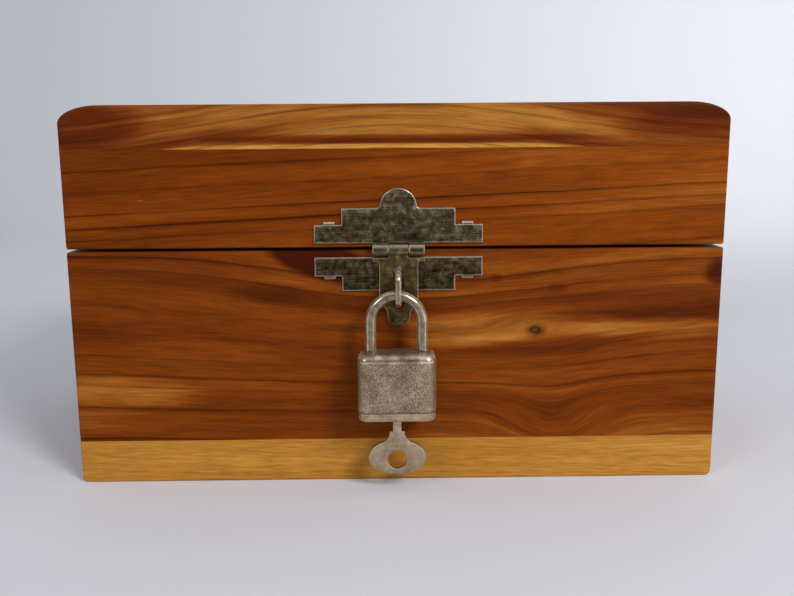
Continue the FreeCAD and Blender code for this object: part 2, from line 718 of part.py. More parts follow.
def build():
    """Every node of the money box by name."""
    base = walls(bottom_thick, base_height, base_height)
    lid = walls(lid_bottom, lid_wall_top, lid_bottom)
    nodes = {
        "bottom_board": bottom_board(),
        "front_board": base["front"].cut(front_pockets(lower_outer_bottom, -1)).cut(staple_holes()),
        "back_board": base["back"].cut(hinge_relief()).cut(screw_holes(-1)),
        "left_side_board": base["left"],
        "right_side_board": base["right"],
        "lid_top_board": top_board(),
        "lid_front_board": lid["front"].cut(front_pockets(upper_outer_top, 1)),
        "lid_back_board": lid["back"].cut(hinge_relief()).cut(screw_holes(1)),
        "lid_left_board": lid["left"],
        "lid_right_board": lid["right"],
        "hasp_upper_plate": upper_plate(),
        "hasp_lower_plate": lower_plate(),
        "hasp_flap": flap(),
        "hasp_pin": rod(hasp_x - hasp_barrel_length / 2, hasp_axis_y, seam_mid, X_AXIS, hasp_pin_dia,
                        hasp_barrel_length),
        "hasp_staple": staple(),
        "base_hinge_screws": Part.makeCompound([screw(x, y, -1, 0) for x, y in screw_places()]),
        "lid_hinge_screws": Part.makeCompound([screw(x, y, 1, 0) for x, y in screw_places()]),
        "padlock_case": case(),
        "padlock_bottom_plate": padlock_bottom_plate(),
        "padlock_lock_block": lock_block(),
        "shackle": shackle(),
        "shackle_spring": shackle_spring(),
        "shackle_stop_pin": stop_pin(0),
        "locking_bolt": locking_bolt(),
        "bolt_spring": bolt_spring(),
        "keyway_plug": keyway_plug(),
        "key": key(),
    }
    for name, x in (("left", -hinge_x), ("right", hinge_x)):
        nodes[name + "_hinge_base_leaf"] = hinge_leaf(x, -1)
        nodes[name + "_hinge_lid_leaf"] = hinge_leaf(x, 1)
        nodes[name + "_hinge_pin"] = rod(
            x - leaf_length / 2, hinge_y, seam_mid, X_AXIS, hinge_pin, leaf_length)
    return nodes


os.makedirs("parts", exist_ok=True)
for node, shape in build().items():
    shape.exportStep("parts/" + node + ".step")
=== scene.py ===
import math

import bpy
from mathutils import Matrix, Vector


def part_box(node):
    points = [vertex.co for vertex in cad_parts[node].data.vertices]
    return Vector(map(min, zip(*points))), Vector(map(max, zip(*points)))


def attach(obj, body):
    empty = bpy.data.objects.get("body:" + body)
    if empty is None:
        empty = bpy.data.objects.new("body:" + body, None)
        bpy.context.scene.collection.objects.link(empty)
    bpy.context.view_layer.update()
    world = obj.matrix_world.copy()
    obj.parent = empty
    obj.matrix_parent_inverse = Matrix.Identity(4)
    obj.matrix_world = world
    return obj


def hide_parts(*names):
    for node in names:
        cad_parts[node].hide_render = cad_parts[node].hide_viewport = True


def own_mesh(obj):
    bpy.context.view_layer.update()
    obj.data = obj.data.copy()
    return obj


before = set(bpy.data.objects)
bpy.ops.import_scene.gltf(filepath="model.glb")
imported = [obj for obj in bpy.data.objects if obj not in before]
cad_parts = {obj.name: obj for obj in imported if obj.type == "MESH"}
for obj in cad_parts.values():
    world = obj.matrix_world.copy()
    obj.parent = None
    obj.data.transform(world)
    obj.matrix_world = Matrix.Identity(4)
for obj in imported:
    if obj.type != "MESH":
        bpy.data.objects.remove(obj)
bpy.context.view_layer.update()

# Bottom board: one flat board of pale cedar sapwood under the four walls, glued on and planed
# flush with them. Its lower edges are sanded round, its upper edges stay sharp in the glue line.
MM = 0.001
ALONG_X, ALONG_Y = 0.0, math.pi / 2

# Sizes of the wood's figure in mm: along the grain, through the board and across the grain.
SWAY = (110, 50, 26)
RIPPLE = (30, 9, 6)
STREAK = (150, 60, 8)
FIBRE = (9, 0.5, 0.42)
RIPPLE_RISE = 0.7  # mm
SPELL, UNEVEN = 3.2, 2.6  # rings in one spell of good or bad years, and how far it moves them
KNOT_HALO = (5.4, 3.3)  # mm, half its length and half its height
THROUGH = 1e6  # mm, so deep that a mark goes through the whole board


def linear(code):
    """The linear colour of an sRGB hex code."""
    parts = [int(code[i:i + 2], 16) / 255 for i in (1, 3, 5)]
    return [c / 12.92 if c <= 0.04045 else ((c + 0.055) / 1.055) ** 2.4 for c in parts] + [1.0]


def grey(value):
    """A neutral colour for masks and factors."""
    return [value, value, value, 1.0]


def tinted(tones):
    """The stops of a colour ramp, from places and sRGB hex codes."""
    return [(place, linear(code)) for place, code in tones]


def shaded(tones):
    """The stops of a neutral ramp, from places and values."""
    return [(place, grey(value)) for place, value in tones]


def per(sizes):
    """The scale that makes one step of a texture as long as each of these sizes."""
    return tuple(1 / size for size in sizes)


def put(tree, kind, inputs=None, stops=None, **settings):
    """Adds one node with its settings; an input is a value, a socket, or a node's first output."""
    node = tree.nodes.new(kind)
    for key, value in settings.items():
        setattr(node, key, value)
    for key, value in (inputs or {}).items():
        if isinstance(value, bpy.types.Node):
            value = value.outputs[0]
        if isinstance(value, bpy.types.NodeSocket):
            tree.links.new(value, node.inputs[key])
        else:
            node.inputs[key].default_value = value
    if stops:
        elements = node.color_ramp.elements
        elements.remove(elements[1])
        elements[0].position, elements[0].color = stops[0]
        for where, colour in stops[1:]:
            elements.new(where).color = colour
    return node


def new_material(name):
    """An empty node material, its tree, and the Object coordinates in millimetres."""
    material = bpy.data.materials.new(name)
    material.use_nodes = True
    tree = material.node_tree
    tree.nodes.clear()
    place = put(tree, "ShaderNodeTexCoord").outputs["Object"]
    return material, tree, put(tree, "ShaderNodeMapping", {"Vector": place, "Scale": (1 / MM,) * 3})


def mark(tree, wood, x, z, half_length, half_height, slant=0.0):
    """The place seen from the middle of a mark in the wood, in units of the mark's own half sizes."""
    return put(tree, "ShaderNodeMapping", {
        "Vector": wood, "Location": (x, 0, z), "Rotation": (0, slant, 0),
        "Scale": (half_length, THROUGH, half_height)}, vector_type="TEXTURE")


def growth(tree, wood, pith, ring, slope, wander, seed, bends):
    """Distance from the log's pith line in mm, with the bends and uneven years of the tree's growth."""
    x, _, z = put(tree, "ShaderNodeSeparateXYZ", {0: wood}).outputs
    slow = put(tree, "ShaderNodeTexNoise", {
        "Vector": put(tree, "ShaderNodeMapping", {"Vector": wood, "Scale": per(SWAY)}),
        "W": seed, "Scale": 1.0, "Detail": 1.0}, noise_dimensions="4D")
    ripple = put(tree, "ShaderNodeTexNoise", {
        "Vector": put(tree, "ShaderNodeMapping", {"Vector": wood, "Scale": per(RIPPLE)}),
        "W": seed + 5.0, "Scale": 1.0, "Detail": 2.0}, noise_dimensions="4D")
    centred = put(tree, "ShaderNodeVectorMath", {
        0: wood, 1: (0, 1, 1), 2: (0, -pith[0], -pith[1])}, operation="MULTIPLY_ADD")
    height = put(tree, "ShaderNodeVectorMath", {0: centred}, operation="LENGTH").outputs["Value"]
    for factor, amount in ((x, slope), (slow, wander), (ripple, RIPPLE_RISE)):
        height = put(tree, "ShaderNodeMath", {0: factor, 1: amount, 2: height}, operation="MULTIPLY_ADD")
    for bend_x, bend_z, half_length, half_height, push, rise in bends:
        near = mark(tree, wood, bend_x, bend_z, half_length, half_height)
        square = put(tree, "ShaderNodeVectorMath", {0: near, 1: near}, operation="DOT_PRODUCT")
        fall = put(tree, "ShaderNodeMath", {0: square.outputs["Value"], 1: -1.0}, operation="MULTIPLY")
        bell = put(tree, "ShaderNodeMath", {0: math.e, 1: fall}, operation="POWER")
        above = put(tree, "ShaderNodeMath", {0: z, 1: bend_z}, operation="SUBTRACT")
        lift = put(tree, "ShaderNodeMath", {0: above, 1: -push, 2: rise}, operation="MULTIPLY_ADD")
        height = put(tree, "ShaderNodeMath", {0: bell, 1: lift, 2: height}, operation="MULTIPLY_ADD")
    years = put(tree, "ShaderNodeMath", {0: height, 1: 1 / (SPELL * ring), 2: seed}, operation="MULTIPLY_ADD")
    spell = put(tree, "ShaderNodeTexNoise", {
        "W": years, "Scale": 1.0, "Detail": 1.0}, noise_dimensions="1D")
    return put(tree, "ShaderNodeMath", {0: spell, 1: UNEVEN * ring, 2: height}, operation="MULTIPLY_ADD")


def cedar(name, turn, pith, ring, slope, wander, seed, tones, late, line, pools=(), knots=(), arches=()):
    """Varnished red cedar, sawn from a log whose growth rings are round tubes about a pith line.

    The rings give straight lines on a face and arcs on an end, all in one block of wood. Pools are
    paler or darker patches, knots push the lines apart, arches bend them into cathedral figures.
    """
    material, tree, flat = new_material(name)
    wood = put(tree, "ShaderNodeMapping", {"Vector": flat, "Rotation": (0, 0, turn)})
    height = growth(tree, wood, pith, ring, slope, wander, seed, (*knots, *arches))

    # Long streaks and short fibres follow the rings, and each ring has a depth of its own.
    x, y, _ = put(tree, "ShaderNodeSeparateXYZ", {0: wood}).outputs
    grain = put(tree, "ShaderNodeCombineXYZ", {0: x, 1: y, 2: height})
    streak = put(tree, "ShaderNodeTexNoise", {
        "Vector": put(tree, "ShaderNodeMapping", {"Vector": grain, "Scale": per(STREAK)}),
        "W": seed + 11.0, "Scale": 1.0, "Detail": 4.0, "Roughness": 0.55}, noise_dimensions="4D")
    fibre = put(tree, "ShaderNodeTexNoise", {
        "Vector": put(tree, "ShaderNodeMapping", {"Vector": grain, "Scale": per(FIBRE)}),
        "W": seed + 17.0, "Scale": 1.0, "Detail": 3.0, "Roughness": 0.6}, noise_dimensions="4D")
    rings = put(tree, "ShaderNodeMath", {0: height, 1: ring}, operation="DIVIDE")
    number = put(tree, "ShaderNodeMath", {0: rings}, operation="FLOOR")
    own = put(tree, "ShaderNodeTexWhiteNoise", {
        "W": put(tree, "ShaderNodeMath", {0: number, 1: seed}, operation="ADD")}, noise_dimensions="1D")

    # The ground tone, with its pools.
    offset = put(tree, "ShaderNodeMath", {0: own, 1: 0.5}, operation="SUBTRACT")
    tone = put(tree, "ShaderNodeMath", {0: offset, 1: 0.10, 2: streak}, operation="MULTIPLY_ADD")
    for pool_x, pool_z, half_length, half_height, slant, paler in pools:
        near = mark(tree, wood, pool_x, pool_z, half_length, half_height, slant)
        square = put(tree, "ShaderNodeVectorMath", {0: near, 1: near}, operation="DOT_PRODUCT")
        ragged = put(tree, "ShaderNodeMath", {
            0: streak, 1: -1.8, 2: square.outputs["Value"]}, operation="MULTIPLY_ADD")
        mask = put(tree, "ShaderNodeMapRange", {
            0: ragged, 1: 0.1, 2: -0.85, 3: 0.0, 4: paler}, interpolation_type="SMOOTHSTEP")
        tone = put(tree, "ShaderNodeMath", {0: tone, 1: mask}, operation="ADD")
    colour = put(tree, "ShaderNodeValToRGB", {0: tone}, stops=tinted(tones))

    # Dark late wood closes each ring, and fades where the ground is pale.
    share = put(tree, "ShaderNodeMath", {0: rings}, operation="FRACT")
    latewood = put(tree, "ShaderNodeValToRGB", {0: share}, stops=shaded([
        (0.0, 0.85), (0.05, 0.42), (0.13, 0.12), (0.4, 0.0), (0.72, 0.16), (0.88, 0.5), (0.97, 0.95)]))
    depth = put(tree, "ShaderNodeMath", {0: own, 1: 1.1}, operation="POWER")
    fade = put(tree, "ShaderNodeMapRange", {0: streak, 1: 0.4, 2: 0.64, 3: 1.2 * line, 4: 0.62 * line})
    dark = put(tree, "ShaderNodeMath", {0: latewood, 1: depth}, operation="MULTIPLY")
    dark = put(tree, "ShaderNodeMath", {0: dark, 1: fade}, operation="MULTIPLY", use_clamp=True)
    colour = put(tree, "ShaderNodeMixRGB", {0: dark, 1: colour, 2: linear(late)})
    for knot_x, knot_z, *_ in knots:
        near = mark(tree, wood, knot_x, knot_z, *KNOT_HALO)
        reach = put(tree, "ShaderNodeVectorMath", {0: near}, operation="LENGTH").outputs["Value"]
        reach = put(tree, "ShaderNodeMath", {0: fibre, 1: 0.35, 2: reach}, operation="MULTIPLY_ADD")
        heart = put(tree, "ShaderNodeValToRGB", {0: reach}, stops=shaded([
            (0.26, 0.62), (0.34, 0.78), (0.43, 0.95), (0.56, 0.6), (0.78, 0.24), (1.0, 0.0)]))
        colour = put(tree, "ShaderNodeMixRGB", {0: heart, 1: colour, 2: linear("#2b1606")})

    # Fibres show as fine light and dark flecks under a thin varnish with little gloss.
    shade = put(tree, "ShaderNodeValToRGB", {0: fibre}, stops=shaded([(0.33, 0.75), (0.67, 1.2)]))
    colour = put(tree, "ShaderNodeMixRGB", {0: 1.0, 1: colour, 2: shade}, blend_type="MULTIPLY")
    rough = put(tree, "ShaderNodeMapRange", {0: fibre, 1: 0.3, 2: 0.7, 3: 0.46, 4: 0.34})
    relief = put(tree, "ShaderNodeMath", {0: fibre, 1: 0.6, 2: dark}, operation="MULTIPLY_ADD")
    bump = put(tree, "ShaderNodeBump", {"Strength": 0.12, "Distance": 0.15 * MM, "Height": relief})
    surface = put(tree, "ShaderNodeBsdfPrincipled", {
        "Base Color": colour, "Roughness": rough, "Normal": bump, "IOR": 1.5, "Specular IOR Level": 0.045})
    put(tree, "ShaderNodeOutputMaterial", {"Surface": surface})
    return material


def dress(node, material):
    """Gives a CAD node its finished material in place of the plain one."""
    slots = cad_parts[node].data.materials
    slots.clear()
    slots.append(material)


# This gives the eye an even honey yellow with close, faint lines.
honey_tones = [(0.26, "#a36d27"), (0.44, "#af782e"), (0.6, "#b78136"), (0.78, "#be8b42")]
dress("bottom_board", cedar(
    "sapwood_cedar_varnished", ALONG_X, pith=(-150, -70), ring=1.8, slope=0.012, wander=3.0, seed=3.1,
    tones=honey_tones, late="#8f5c1e", line=0.45))

# Base walls: four red cedar heartwood boards, glued in rabbets at the corners. The front one has a
# small knot with honey flow lines, a pale streak low on the left and a dark flame beside the hasp.
HEART_RING, HEART_LATE = 4.8, "#360d00"

# This gives the eye a deep red brown, streaked with amber, with soft dark lines.
heart_tones = [(0.2, "#3e1402"), (0.4, "#642b05"), (0.56, "#7b3b0a"), (0.7, "#93541a"), (0.92, "#b0742f")]

# A pool is x, z, half length and half height in mm, slant, and how much paler it is, or darker below
# zero. A knot or an arch is x, z, half length, half height, push and rise.
dress("front_board", cedar(
    "heartwood_cedar_front", ALONG_X, pith=(-190, -130), ring=HEART_RING, slope=0.0, wander=6.0, seed=7.3,
    tones=heart_tones, late=HEART_LATE, line=0.95,
    pools=[(-94, 29, 42, 7.4, 0.03, 0.33),  # pale streak low on the left
           (-70, 44, 50, 6, 0.06, 0.14),  # a fainter one over it
           (42, 49.6, 46, 7.5, -0.04, 0.36),  # honey flow round the knot
           (20, 45, 30, 3.0, -0.1, 0.2),  # its tail to the left
           (82, 49.6, 42, 4.8, -0.02, 0.38),  # its tail to the right
           (-24, 72, 20, 7, 0.3, -0.6),  # dark flame beside the hasp
           (-38, 61, 20, 4, 0.1, -0.13),  # its lower tongue
           (-78, 69, 44, 8, 0.0, -0.12),  # darker wood in the upper left corner
           (101, 67, 6, 5, 0.0, -0.34),  # dark spot on the right edge
           (0, 66.5, 29, 6.5, 0.0, -0.12),  # painted shade and grime round the lower plate
           (31, 65.5, 3, 1.6, 0.0, -0.14),  # a small stain
           (50, 62.3, 4, 1.8, 0.0, -0.14)],  # another
    knots=[(43.4, 48.9, 22, 7, 0.9, 0.0)],
    arches=[(14, 54, 64, 24, 0.0, 8.5), (50, 16, 17, 12, 0.0, 9.0)]))
for node, name, turn, pith, slope, wander, seed in (
        ("back_board", "heartwood_cedar_back", ALONG_X, (180, 10), -0.015, 9.0, 21.7),
        ("left_side_board", "heartwood_cedar_left", ALONG_Y, (-160, -90), 0.02, 8.0, 33.9),
        ("right_side_board", "heartwood_cedar_right", ALONG_Y, (170, 140), 0.02, 8.0, 41.3)):
    dress(node, cedar(
        name, turn, pith, HEART_RING, slope, wander, seed, heart_tones, HEART_LATE, line=0.9))

# Lid walls: four shallower boards from straighter stock, jointed as the base is, so that the dark
# growth lines run nearly level and rise a little to the right.
LID_RING, LID_LATE = 4.4, "#3a0f00"

# This gives the eye an even warm brown with a few clear lines.
lid_tones = [(0.24, "#542003"), (0.44, "#6b3004"), (0.6, "#803d08"), (0.8, "#975518")]
dress("lid_front_board", cedar(
    "straight_cedar_front", ALONG_X, pith=(-140, 10), ring=LID_RING, slope=-0.035, wander=1.4, seed=53.2,
    tones=lid_tones, late=LID_LATE, line=1.0,
    pools=[(80, 95, 60, 22, 0.0, 0.08),  # paler wood on the right
           (0.6, 81.5, 29, 7.5, 0.0, -0.1),  # painted shade and grime round the upper plate
           (-78, 90.3, 1.1, 0.2, -0.1, 0.8),  # a painted highlight: a tiny pale glint on the varnish
           (-84.6, 82.1, 1.4, 0.2, 0.2, 0.7)]))  # another painted glint
for node, name, turn, pith, seed in (
        ("lid_back_board", "straight_cedar_back", ALONG_X, (150, 20), 61.8),
        ("lid_left_board", "straight_cedar_left", ALONG_Y, (-150, 0), 74.5),
        ("lid_right_board", "straight_cedar_right", ALONG_Y, (150, 40), 82.6)):
    dress(node, cedar(
        name, turn, pith, LID_RING, slope=0.02, wander=4.0, seed=seed,
        tones=lid_tones, late=LID_LATE, line=0.95))

# Top board: one wide board glued over the lid walls with its ends rounded over. Its front edge cuts
# the rings as long arches, honey in the middle, with a strip of sapwood along the lower edge.
top_tones = [(0.18, "#3f1603"), (0.38, "#602606"), (0.54, "#7f4213"), (0.7, "#a06828"), (0.9, "#ba8439")]
dress("lid_top_board", cedar(
    "arched_cedar_top", ALONG_X, pith=(-75, 40), ring=3.0, slope=0.0, wander=2.4, seed=95.4,
    tones=top_tones, late=HEART_LATE, line=0.7,
    pools=[(0, 113, 64, 6.5, 0.0, 0.14),  # honey in the middle
           (0, 105.7, 74, 1.7, 0.0, 0.55),  # strip of sapwood
           (0, 108.4, 70, 1.8, 0.0, -0.22),  # dark band over it
           (-96, 112, 24, 9, 0.0, -0.2),  # dark left end
           (92, 112, 28, 9, 0.0, -0.18)],  # dark right end
    arches=[(0, 112, 72, 40, 0.0, -13.0)]))

# Hinges: two small butt hinges let into the back edges, each two steel leaves with rolled knuckles
# round a pin. They were zinc plated and have gone dull, with a little brown where air got at them.
ROLLED = (9, 0.6, 0.45)  # mm, streaks that the rolling mill left in the sheet
PIT = 0.45  # mm


def tarnish(tree, flat, blotch, grain):
    """Clouds of tarnish about as wide as a blotch in mm, and the same with streaks and pits mixed in."""
    cloud = put(tree, "ShaderNodeTexNoise", {
        "Vector": flat, "Scale": 1 / blotch, "Detail": 6.0, "Roughness": 0.7})
    rolled = put(tree, "ShaderNodeTexNoise", {
        "Vector": put(tree, "ShaderNodeMapping", {"Vector": flat, "Scale": per(ROLLED)}),
        "Scale": 1.0, "Detail": 3.0})
    speck = put(tree, "ShaderNodeTexNoise", {"Vector": flat, "Scale": 1 / PIT, "Detail": 2.0})
    mixed = put(tree, "ShaderNodeMath", {0: cloud, 1: 1.0 - grain}, operation="MULTIPLY")
    mixed = put(tree, "ShaderNodeMath", {0: rolled, 1: 0.55 * grain, 2: mixed}, operation="MULTIPLY_ADD")
    mixed = put(tree, "ShaderNodeMath", {0: speck, 1: 0.45 * grain, 2: mixed}, operation="MULTIPLY_ADD")
    return cloud, mixed


def toned(tree, mixed, tones, rough):
    """The plating's colour and its roughness, which is less where it is pale."""
    colour = put(tree, "ShaderNodeValToRGB", {0: mixed}, stops=tinted(tones))
    gloss = put(tree, "ShaderNodeMapRange", {
        0: mixed, 1: 0.38, 2: 0.64, 3: rough + 0.14, 4: rough - 0.05})
    return colour, gloss


def metal_surface(tree, colour, gloss, mixed, mirror=1.0):
    """Closes a metal with its fine relief; mirror is the share of light that it doesn't scatter."""
    bump = put(tree, "ShaderNodeBump", {"Strength": 0.3, "Distance": 0.04 * MM, "Height": mixed})
    metal = put(tree, "ShaderNodeBsdfPrincipled", {
        "Base Color": colour, "Metallic": mirror, "Roughness": gloss, "Normal": bump})
    put(tree, "ShaderNodeOutputMaterial", {"Surface": metal})


def plated(name, tones, blotch, rough, grain=0.35):
    """Flat or turned metal under old, cloudy plating."""
    material, tree, flat = new_material(name)
    _, mixed = tarnish(tree, flat, blotch, grain)
    colour, gloss = toned(tree, mixed, tones, rough)
    metal_surface(tree, colour, gloss, mixed)
    return material


# This gives the eye a cloudy mid grey with brown shadows and hardly any shine.
dull_zinc = plated("dull_zinc_plated_steel", [
    (0.36, "#4b4030"), (0.44, "#6f6757"), (0.52, "#8f8778"), (0.62, "#a8a192")], blotch=4.0, rough=0.38)
for side in ("left", "right"):
    for part in ("base_leaf", "lid_leaf", "pin"):
        dress(f"{side}_hinge_{part}", dull_zinc)

# Hinge screws: small slotted countersunk wood screws, turned from bright steel and driven flush with
# the leaves. Browned a little, they still show as pale dots on the dull zinc.
turned_steel = plated("turned_screw_steel", [
    (0.36, "#85796a"), (0.46, "#b3ab9d"), (0.55, "#ccc5b8"), (0.64, "#e0dacf")], blotch=1.6, rough=0.3)
for node in ("base_hinge_screws", "lid_hinge_screws"):
    dress(node, turned_steel)

# Hasp plates: stepped plates stamped from thin sheet, nickel plated, held by prongs driven into the
# wood. The flat fronts have gone dark with olive and brown clouds, the edges are rubbed bright and carry
# a painted highlight, and painted shade darkens the sheet below the pin.
RIM = 0.9  # mm, how far in from an edge the sheet is rubbed and painted with a highlight
BARREL, STEP = 2.2, 0.2  # mm from the hasp's pin to just outside its knuckles, and over how far
PAINTED_SHADE_PER_MM = 0.003  # per mm from that pin, painted shade that makes the sheet darker below it and lighter above it
pin_low, pin_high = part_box("hasp_pin")
pin_height = (pin_low.z + pin_high.z) / 2 / MM


def frontness(tree):
    """One where a face looks straight to the front or the back, zero on a flank."""
    normal = put(tree, "ShaderNodeSeparateXYZ", {0: put(tree, "ShaderNodeTexCoord").outputs["Normal"]})
    return put(tree, "ShaderNodeMath", {0: normal.outputs[1]}, operation="ABSOLUTE")


def worn_and_lit_sheet(name, tones, blotch, rough, grain, rim, reach=0.0):
    """Dark plated sheet whose edges are worn through and carry a painted highlight, in the rim's colour.

    Faces that turn from the front carry the same painted highlight, about half of it on the knuckles, and
    painted shade makes the sheet darker below the pin and lighter above it. Reach is the share of the worn
    metal that goes on over the face beside an edge.
    """
    material, tree, flat = new_material(name)
    cloud, mixed = tarnish(tree, flat, blotch, grain)
    # Painted shade: the tone runs darker below the pin, where the padlock hangs, and lighter above it.
    up = put(tree, "ShaderNodeSeparateXYZ", {0: flat}).outputs[2]
    above = put(tree, "ShaderNodeMath", {0: up, 1: pin_height}, operation="SUBTRACT")
    mixed = put(tree, "ShaderNodeMath", {0: above, 1: PAINTED_SHADE_PER_MM, 2: mixed}, operation="MULTIPLY_ADD")
    colour, gloss = toned(tree, mixed, tones, rough)
    # The rim colour is partly wear and partly a painted highlight, on edges and on faces turned from the
    # front.
    eased = put(tree, "ShaderNodeBevel", {"Radius": RIM * MM}, samples=8)
    face = put(tree, "ShaderNodeNewGeometry").outputs["Normal"]
    lean = put(tree, "ShaderNodeVectorMath", {0: eased, 1: face}, operation="DOT_PRODUCT")
    near = put(tree, "ShaderNodeMapRange", {0: lean.outputs["Value"], 1: 0.985, 2: 0.9, 4: reach})
    away = put(tree, "ShaderNodeMath", {0: above}, operation="ABSOLUTE")
    most = put(tree, "ShaderNodeMapRange", {0: away, 1: BARREL - STEP, 2: BARREL, 3: 0.52, 4: 1.0})
    turned = put(tree, "ShaderNodeMapRange", {0: frontness(tree), 1: 0.99, 2: 0.75, 4: most})
    edge = put(tree, "ShaderNodeMath", {0: near, 1: turned}, operation="MAXIMUM")
    rubbed = put(tree, "ShaderNodeMapRange", {0: cloud, 1: 0.35, 2: 0.6, 3: 0.7, 4: 1.0})
    worn_and_lit = put(tree, "ShaderNodeMath", {0: edge, 1: rubbed}, operation="MULTIPLY")
    colour = put(tree, "ShaderNodeMixRGB", {0: worn_and_lit, 1: colour, 2: linear(rim)})
    gloss = put(tree, "ShaderNodeMath", {0: worn_and_lit, 1: -0.1, 2: gloss}, operation="MULTIPLY_ADD")
    metal_surface(tree, colour, gloss, mixed)
    return material


# This gives the eye nearly black olive clouds inside a thin pale outline of wear and painted highlight.
tarnished_nickel = worn_and_lit_sheet("tarnished_nickel_plate", [
    (0.36, "#17120a"), (0.43, "#322919"), (0.49, "#433a25"), (0.55, "#564c39"), (0.62, "#766b5b"),
    (0.7, "#998e7d")], blotch=2.2, rough=0.32, grain=0.38, rim="#fdf0d4", reach=0.5)
for node in ("hasp_upper_plate", "hasp_lower_plate"):
    dress(node, tarnished_nickel)

# Flap: the hasp's slotted tongue, stamped from the same sheet and rolled round the pin. Its plating
# is thinner, so that the brass below it gives an olive cast.
# Its edges carry the same wear and painted highlight, and the same painted shade below the pin.
dress("hasp_flap", worn_and_lit_sheet("olive_nickel_flap", [
    (0.34, "#2c2411"), (0.44, "#4a3f23"), (0.52, "#5e5231"), (0.6, "#7d704c"), (0.68, "#a2946c")],
    blotch=2.6, rough=0.3, grain=0.36, rim="#f5e8c6"))

# Pin, staple and shackle: drawn round wire, bent to shape and plated bright. Years of handling have
# polished it; painted highlight and shade stripes run along it, and its flanks stay pale against the wood.


def rounded_metal(name, tones, blotch, rough, grain, bands=()):
    """Bright plating on a round piece, with painted highlight and shade stripes from its flanks to its front.

    The flanks scatter light instead of mirroring the wood behind them, so that they stay pale.
    """
    material, tree, flat = new_material(name)
    _, mixed = tarnish(tree, flat, blotch, grain)
    colour, gloss = toned(tree, mixed, tones, rough)
    facing = frontness(tree)
    if bands:
        # Painted highlight and shade: the colour is scaled by how far the face turns from the front.
        light = put(tree, "ShaderNodeValToRGB", {0: facing}, stops=shaded(bands))
        colour = put(tree, "ShaderNodeMixRGB", {0: 1.0, 1: colour, 2: light}, blend_type="MULTIPLY")
    mirror = put(tree, "ShaderNodeMapRange", {0: facing, 1: 0.7, 2: 0.3, 3: 1.0, 4: 0.35})
    metal_surface(tree, colour, gloss, mixed, mirror)
    return material


bright_nickel = rounded_metal("bright_nickel_wire", [
    (0.34, "#75654f"), (0.44, "#9f8e76"), (0.53, "#b6a68d"), (0.64, "#d2c5af")],
    blotch=2.2, rough=0.16, grain=0.3,
    bands=[(0.1, 0.8), (0.3, 1.2), (0.54, 0.75), (0.76, 1.5), (0.96, 0.58)])
for node in ("hasp_pin", "hasp_staple", "shackle"):
    dress(node, bright_nickel)

# Padlock case: a drawn steel shell, nickel plated. Its walls are rolled with a fine pebble that
# glitters, its shoulders are smooth, with painted highlight and shade stripes for their reflections, and
# grime lies along the lower seam.
PEBBLE = 0.28  # mm, drawn a little coarser than the real one so that it shows
CASE_CLOUD = 5  # mm
PEBBLE_END, PEBBLE_GONE = 2.6, 2.3  # mm below the top
SHOULDER = 2.9  # mm from the top to where the shoulder's painted highlight and shade stripes begin
GRIME = 0.9  # mm up from the lower seam
case_low, case_high = (corner.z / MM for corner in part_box("padlock_case"))
pebbled_nickel, tree, flat = new_material("pebbled_nickel_case")
up = put(tree, "ShaderNodeSeparateXYZ", {0: flat}).outputs[2]
smooth = put(tree, "ShaderNodeMapRange", {
    0: up, 1: case_high - PEBBLE_END, 2: case_high - PEBBLE_GONE}, interpolation_type="SMOOTHSTEP")
seam = put(tree, "ShaderNodeMapRange", {
    0: up, 1: case_low + GRIME, 2: case_low}, interpolation_type="SMOOTHSTEP")
fold = put(tree, "ShaderNodeMapRange", {0: up, 1: case_high - SHOULDER, 2: case_high})
bead = put(tree, "ShaderNodeTexNoise", {"Vector": flat, "Scale": 1 / PEBBLE, "Detail": 1.0})
cloud = put(tree, "ShaderNodeTexNoise", {
    "Vector": flat, "Scale": 1 / CASE_CLOUD, "Detail": 5.0, "Roughness": 0.65})
beads = put(tree, "ShaderNodeMath", {0: bead, 1: 0.6}, operation="MULTIPLY")
mixed = put(tree, "ShaderNodeMath", {0: cloud, 1: 0.4, 2: beads}, operation="MULTIPLY_ADD")
pebbled = put(tree, "ShaderNodeValToRGB", {0: mixed}, stops=tinted([
    (0.36, "#665541"), (0.46, "#8e7b63"), (0.54, "#a39176"), (0.64, "#c8b99f")]))
polished = put(tree, "ShaderNodeValToRGB", {0: cloud}, stops=tinted([
    (0.36, "#84715a"), (0.5, "#ae9a7f"), (0.64, "#d2c2a8")]))
# Painted reflections: light and dark stripes across the shoulder, and a darker flat top.
bands = put(tree, "ShaderNodeValToRGB", {0: fold}, stops=shaded([
    (0.12, 1.35), (0.2, 1.35), (0.28, 0.72), (0.46, 0.8), (0.66, 1.45), (0.9, 0.8), (0.99, 0.42)]))
polished = put(tree, "ShaderNodeMixRGB", {0: 1.0, 1: polished, 2: bands}, blend_type="MULTIPLY")
colour = put(tree, "ShaderNodeMixRGB", {0: smooth, 1: pebbled, 2: polished})
grime = put(tree, "ShaderNodeMath", {0: seam, 1: cloud}, operation="MULTIPLY")
colour = put(tree, "ShaderNodeMixRGB", {0: grime, 1: colour, 2: linear("#1d140a")})
mirror = put(tree, "ShaderNodeMapRange", {0: frontness(tree), 1: 0.75, 2: 0.25, 3: 1.0, 4: 0.45})
gloss = put(tree, "ShaderNodeMapRange", {0: smooth, 3: 0.4, 4: 0.24})
rolled = put(tree, "ShaderNodeMath", {0: 1.0, 1: smooth}, operation="SUBTRACT")
raised = put(tree, "ShaderNodeMath", {0: rolled, 1: bead}, operation="MULTIPLY")
bump = put(tree, "ShaderNodeBump", {"Strength": 0.6, "Distance": 0.09 * MM, "Height": raised})
shell = put(tree, "ShaderNodeBsdfPrincipled", {
    "Base Color": colour, "Metallic": mirror, "Roughness": gloss, "Normal": bump})
